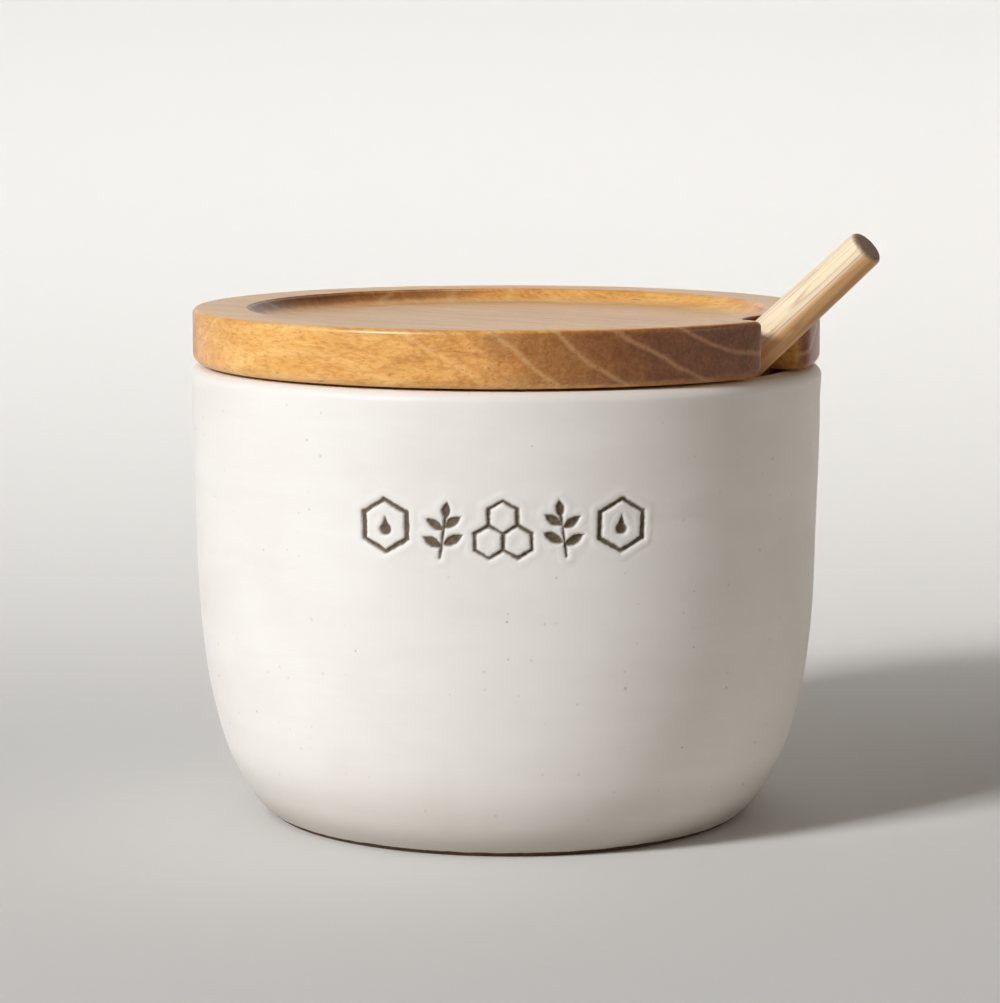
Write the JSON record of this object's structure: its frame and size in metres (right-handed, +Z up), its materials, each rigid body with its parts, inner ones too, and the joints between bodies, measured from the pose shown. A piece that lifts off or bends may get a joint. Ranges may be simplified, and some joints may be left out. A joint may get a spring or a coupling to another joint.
{
  "type": "stoneware honey pot",
  "caption": "Round stoneware honey pot with a rounded lower edge, a flat wooden lid notched at its edge, and a wooden dipper leaning out through the notch.",
  "frame": {"origin": "centre of the pot's flat foot, on the pot's axis, at the surface it stands on", "axes": "+Z up along the pot's axis, -Y towards the front that carries the stamped ornament, +X to the viewer's right, the side over which the dipper leans"},
  "size_m": [0.1173, 0.1108, 0.1036],
  "materials": {
    "stoneware": "warm white satin glaze with fine iron specks",
    "lid_wood": "oiled acacia-like wood, golden to walnut brown, satin",
    "dipper_wood": "pale unfinished beech-like wood with a fine long grain"
  },
  "bodies": {
    "root": {"pot": "stoneware", "lid": "lid_wood", "dipper": "dipper_wood"}
  },
  "joints": []
}
